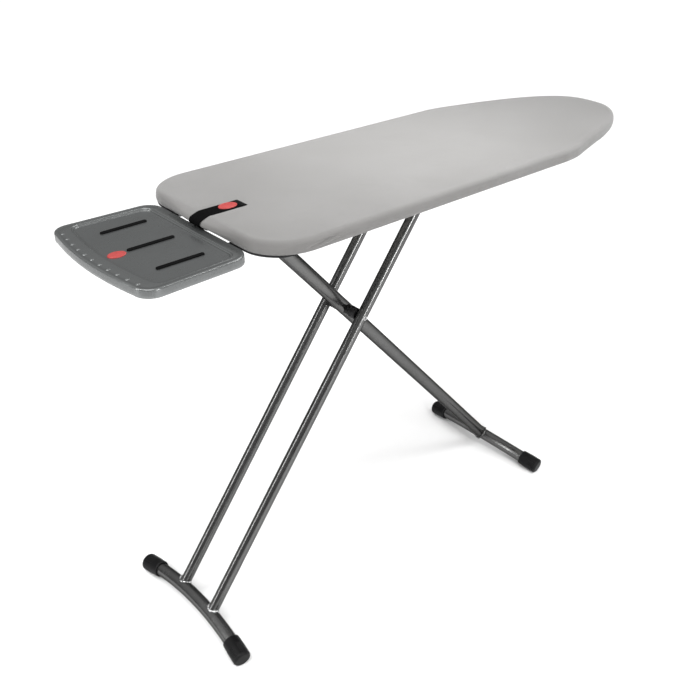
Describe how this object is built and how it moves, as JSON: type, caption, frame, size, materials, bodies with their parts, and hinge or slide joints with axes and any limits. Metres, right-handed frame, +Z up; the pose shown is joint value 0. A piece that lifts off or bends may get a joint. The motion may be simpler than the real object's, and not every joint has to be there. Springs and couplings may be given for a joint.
{
  "type": "ironing board",
  "caption": "Folding ironing board: padded pointed top on scissor legs with arched feet, height rails under the top, and a sheet steel iron rest with silicone strips at the tail.",
  "frame": {"origin": "on the floor, under the middle of the whole outline", "axes": "+X towards the pointed nose of the top, the iron rest is at -X; +Y across the top; +Z up"},
  "size_m": [1.477, 0.45, 0.981],
  "materials": {
    "cover_cloth": "plain light grey cotton, fine weave",
    "felt": "needled felt",
    "webbing": "ribbed black webbing",
    "badge": "plain red oval",
    "black_plastic": "moulded, fine grain",
    "silicone": "matte silicone",
    "foot_rubber": "matte",
    "rest_paint": "satin metallic grey coat",
    "leg_paint": "metallic dark grey coat",
    "grey_paint": "dark grey coat",
    "zinc": "zinc plated sheet",
    "bright_steel": "bare bright steel"
  },
  "bodies": {
    "board": {"cover": "cover_cloth", "cover_hem": "cover_cloth", "padding": "felt", "mesh_top": "grey_paint", "board_frame": "grey_paint", "cross_member_tail": "grey_paint", "cross_member_hinge": "grey_paint", "cross_member_rail_a": "grey_paint", "cross_member_rail_b": "grey_paint", "cross_member_nose": "grey_paint", "height_rail_front": "zinc", "height_rail_rear": "zinc", "rail_rivets": "bright_steel", "hinge_bracket": "zinc", "hinge_pin": "bright_steel", "tension_strap": "webbing", "strap_badge": "badge", "strap_hook": "black_plastic", "rest_tray": "rest_paint", "rest_strip_front": "silicone", "rest_strip_middle": "silicone", "rest_strip_rear": "silicone", "rest_badge": "badge", "rest_support_front": "grey_paint", "rest_support_rear": "grey_paint", "rest_screws": "bright_steel", "lever_brackets": "zinc", "lever_spring": "bright_steel", "hook_bracket": "zinc", "hook_pin": "bright_steel", "tail_trim": "black_plastic"},
    "release_lever": {"release_lever": "bright_steel", "release_grip": "black_plastic"},
    "transport_hook": {"transport_hook": "black_plastic"},
    "inner_leg": {"inner_leg_tube": "leg_paint", "inner_foot_tube": "leg_paint", "inner_cap_front": "foot_rubber", "inner_cap_rear": "foot_rubber", "inner_leg_plug": "black_plastic", "inner_foot_weld": "bright_steel", "pivot_spacers": "black_plastic"},
    "outer_leg": {"outer_leg_tube_front": "leg_paint", "outer_leg_tube_rear": "leg_paint", "outer_foot_tube": "leg_paint", "outer_cap_front": "foot_rubber", "outer_cap_rear": "foot_rubber", "outer_leg_plugs": "black_plastic", "outer_foot_welds": "bright_steel", "crossbar_lugs": "zinc", "crossbar": "bright_steel", "crossbar_caps": "black_plastic", "pivot_rivet": "bright_steel"}
  },
  "joints": [
    {"name": "inner_leg_fold", "type": "hinge", "parent": "board", "child": "inner_leg", "pos_m": [-0.36628, 0, 0.908], "axis": [0, -1, 0], "range_deg": [0, 48]},
    {"name": "outer_leg_pivot", "type": "hinge", "parent": "inner_leg", "child": "outer_leg", "pos_m": [-0.1405, 0, 0.654], "axis": [0, 1, 0], "range_deg": [0, 101]},
    {"name": "release_lever_squeeze", "type": "hinge", "parent": "board", "child": "release_lever", "pos_m": [0.1685, 0.128, 0.937], "axis": [1, 0, 0], "range_deg": [0, 10], "stiffness_Nm_per_rad": 1.2, "springref_deg": -28.65},
    {"name": "transport_hook_swing", "type": "hinge", "parent": "board", "child": "transport_hook", "pos_m": [0.5735, 0.034, 0.945], "axis": [-1, 0, 0], "range_deg": [0, 90]}
  ],
  "couplings": [
    {"joint": "outer_leg_pivot", "follows": "inner_leg_fold", "ratio": 2.103}
  ]
}
